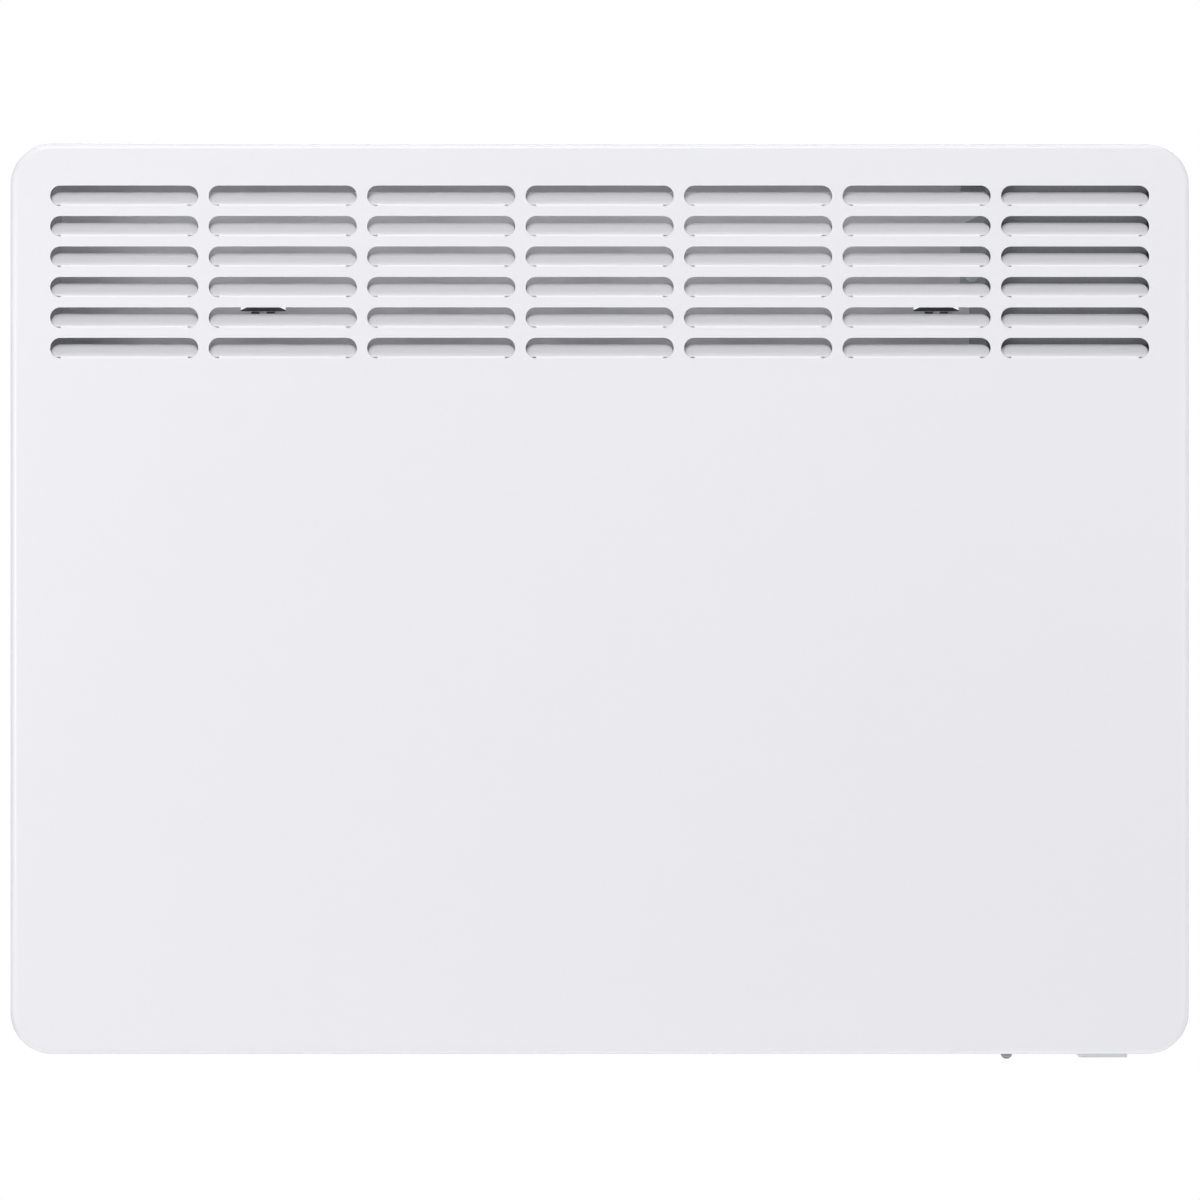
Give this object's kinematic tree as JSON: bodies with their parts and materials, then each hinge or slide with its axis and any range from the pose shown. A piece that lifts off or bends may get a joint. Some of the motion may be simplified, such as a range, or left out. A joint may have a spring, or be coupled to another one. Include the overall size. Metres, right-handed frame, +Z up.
{
  "type": "wall convector heater",
  "caption": "White steel wall convector heater with a louvred front, a recessed thermostat knob, an underside rocker switch and a lift-off wall bracket.",
  "frame": {"origin": "on the wall plane, in the middle of the wall bracket's four screw holes", "axes": "+Z up, +X to the right seen from the front, front faces -Y, the wall is the plane y = 0"},
  "size_m": [0.59, 0.1, 0.4598],
  "materials": {
    "white_coat": "fine satin powder coat, slightly cool white",
    "white_coat_inner": "thin white powder coat",
    "dark_coat": "dark grey powder coat",
    "galvanised": "galvanised, faint spangle",
    "bright_sheet": "bright rolled sheet",
    "black_rubber": "matt black",
    "heated_steel": "heat-tinted sheath",
    "fin_aluminium": "thin pressed fins",
    "ceramic": "off-white glazed ceramic",
    "brass_tabs": "plain",
    "black_plastic": "moulded black",
    "grey_plastic": "fine moulded grain, light grey",
    "cream_plastic": "moulded cream",
    "screw_steel": "zinc plated",
    "knob_plastic": "white moulded plastic",
    "bulb_steel": "dark tinned bulb",
    "copper_line": "drawn copper",
    "bezel_plastic": "light grey moulding",
    "rocker_plastic": "light grey moulding",
    "brown_wire": "wire insulation",
    "black_wire": "wire insulation",
    "red_wire": "heat-proof sleeve",
    "blue_wire": "wire insulation",
    "earth_wire": "wire insulation"
  },
  "bodies": {
    "bracket": {"wall_bracket": "dark_coat"},
    "knob": {"thermostat_knob": "knob_plastic", "thermostat_shaft": "screw_steel"},
    "rocker": {"switch_rocker": "rocker_plastic"},
    "heater": {"front_cover": "white_coat", "back_pan": "white_coat_inner", "inlet_grille": "white_coat_inner", "control_bay_shield": "galvanised", "rear_heat_shield": "bright_sheet", "wall_buffers": "black_rubber", "element_tube": "heated_steel", "element_fins": "fin_aluminium", "element_flange": "galvanised", "element_support": "galvanised", "cutout_bracket": "galvanised", "element_insulators": "ceramic", "element_terminals": "brass_tabs", "switch_tabs": "brass_tabs", "terminal_screws": "brass_tabs", "earth_stud": "brass_tabs", "thermal_cutout": "black_plastic", "cable_gland": "black_plastic", "gland_nut": "black_plastic", "control_housing": "grey_plastic", "thermostat_body": "cream_plastic", "terminal_block": "cream_plastic", "sensor_clip": "cream_plastic", "room_sensor_bulb": "bulb_steel", "sensor_capillary": "copper_line", "switch_body": "bezel_plastic", "lead_live": "brown_wire", "lead_switched": "black_wire", "lead_heated": "red_wire", "lead_element": "red_wire", "lead_neutral": "blue_wire", "lead_return": "blue_wire", "lead_earth": "earth_wire", "cover_screws": "screw_steel", "inner_screws": "screw_steel", "thermostat_screws": "screw_steel"}
  },
  "joints": [
    {"name": "lift_off", "type": "slide", "parent": "bracket", "child": "heater", "axis": [0, 0, 1], "range_m": [0, 0.0065]},
    {"name": "knob_turn", "type": "hinge", "parent": "heater", "child": "knob", "pos_m": [0.2832, -0.073, 0.15], "axis": [-1, 0, 0], "range_deg": [-135, 135]},
    {"name": "switch_rock", "type": "hinge", "parent": "heater", "child": "rocker", "pos_m": [0.2528, -0.073, -0.221], "axis": [1, 0, 0], "range_deg": [0, 12]}
  ]
}
